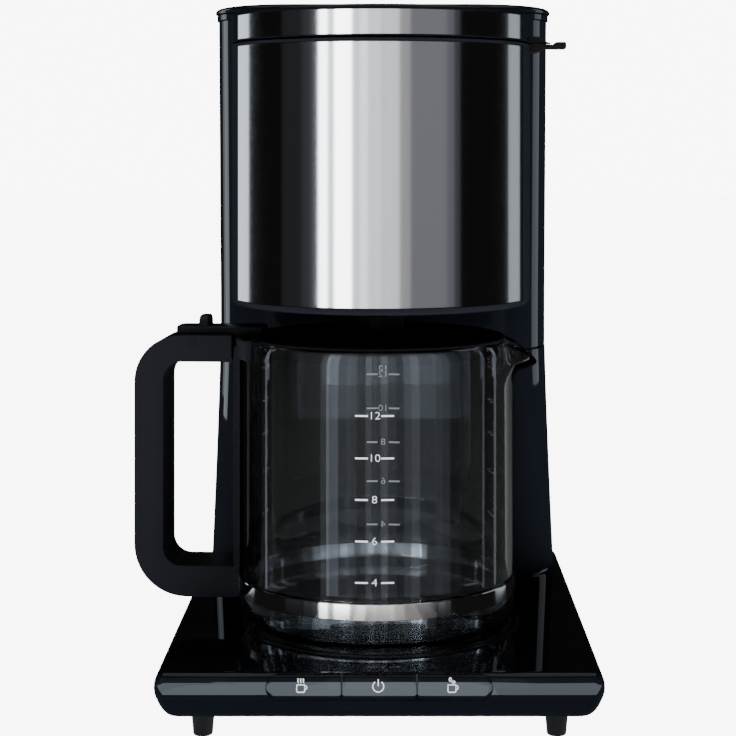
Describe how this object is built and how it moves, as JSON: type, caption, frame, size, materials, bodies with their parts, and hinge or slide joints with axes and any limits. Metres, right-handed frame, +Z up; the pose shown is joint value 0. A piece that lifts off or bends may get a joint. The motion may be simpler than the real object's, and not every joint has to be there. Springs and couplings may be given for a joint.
{
  "type": "drip coffee maker",
  "caption": "Drip coffee maker with a swing-out brushed steel filter drum, a lidded water tank and a glass carafe on a warming plate over a flat glossy base.",
  "frame": {"origin": "on the table, under the middle of the bounding box", "axes": "+Z up, -Y towards the person who uses it, +X towards the side with the spout and the opening tab"},
  "size_m": [0.2326, 0.2751, 0.364],
  "materials": {
    "gloss_black": "high gloss",
    "matte_black": "fine satin",
    "enamel_black": "smooth non-stick coating",
    "rubber_black": "matt",
    "brushed_steel": "brushed around the drum",
    "bright_steel": "polished",
    "aluminium": "as cast",
    "heater_steel": "heat darkened",
    "glass": "clear",
    "smoke_plastic": "smoke grey",
    "white_plastic": "plain",
    "silicone": "translucent",
    "board_green": "lacquered"
  },
  "bodies": {
    "housing": {"base_bottom_pan": "gloss_black", "base_top_cover": "gloss_black", "rubber_feet": "rubber_black", "base_screws": "bright_steel", "cord_gland": "rubber_black", "warming_plate": "enamel_black", "plate_seal": "rubber_black", "heat_spreader": "aluminium", "heating_tube": "heater_steel", "water_tube": "aluminium", "heater_clamp": "bright_steel", "thermostat": "matte_black", "thermal_fuses": "white_plastic", "control_board": "board_green", "button_switches": "matte_black", "lower_column": "gloss_black", "column_front_panel": "gloss_black", "upper_housing": "gloss_black", "water_tank": "smoke_plastic", "tank_collar": "gloss_black", "tank_hinge_pin": "bright_steel", "check_valve": "white_plastic", "inlet_hose": "silicone", "riser_hose": "silicone", "hose_clamps": "bright_steel", "head_cover": "gloss_black", "head_steel_band": "brushed_steel", "shower_plate": "matte_black", "tab_keeper": "matte_black", "filter_hinge_pin": "bright_steel"},
    "tank_lid": {"tank_lid": "gloss_black"},
    "filter": {"filter_housing": "matte_black", "filter_steel_wrap": "brushed_steel", "filter_tab": "matte_black", "filter_basket": "matte_black", "valve_cage": "matte_black", "valve_spring": "bright_steel"},
    "drip_valve": {"drip_valve": "matte_black", "valve_seal": "rubber_black"},
    "carafe": {"carafe_glass": "glass", "carafe_band": "bright_steel", "carafe_handle": "matte_black", "handle_screw": "bright_steel", "lid_hinge_pin": "bright_steel"},
    "carafe_lid": {"carafe_lid": "matte_black", "lid_thumb_lever": "matte_black"},
    "keep_warm_button": {"button_keep_warm": "gloss_black"},
    "power_button": {"button_power": "gloss_black"},
    "aroma_button": {"button_aroma": "gloss_black"}
  },
  "joints": [
    {"name": "carafe_slide", "type": "slide", "parent": "housing", "child": "carafe", "axis": [0, -1, 0], "range_m": [0, 0.22]},
    {"name": "carafe_lid_hinge", "type": "hinge", "parent": "carafe", "child": "carafe_lid", "pos_m": [-0.08592, -0.03528, 0.1826], "axis": [-0.061, -0.9981, 0], "range_deg": [0, 4]},
    {"name": "filter_swing", "type": "hinge", "parent": "housing", "child": "filter", "pos_m": [-0.0616, 0.01095, 0.27], "axis": [0, 0, -1], "range_deg": [0, 100]},
    {"name": "drip_valve_lift", "type": "slide", "parent": "filter", "child": "drip_valve", "axis": [0, 0, 1], "range_m": [0, 0.003], "stiffness_N_per_m": 200, "springref_m": -0.004, "deforming": ["valve_spring"]},
    {"name": "tank_lid_hinge", "type": "hinge", "parent": "housing", "child": "tank_lid", "pos_m": [0.0104, 0.13415, 0.3574], "axis": [-1, 0, 0], "range_deg": [0, 85]},
    {"name": "keep_warm_press", "type": "slide", "parent": "housing", "child": "keep_warm_button", "axis": [0, 1, 0], "range_m": [0, 0.0008], "stiffness_N_per_m": 500, "springref_m": -0.001},
    {"name": "power_press", "type": "slide", "parent": "housing", "child": "power_button", "axis": [0, 1, 0], "range_m": [0, 0.0008], "stiffness_N_per_m": 500, "springref_m": -0.001},
    {"name": "aroma_press", "type": "slide", "parent": "housing", "child": "aroma_button", "axis": [0, 1, 0], "range_m": [0, 0.0008], "stiffness_N_per_m": 500, "springref_m": -0.001}
  ]
}
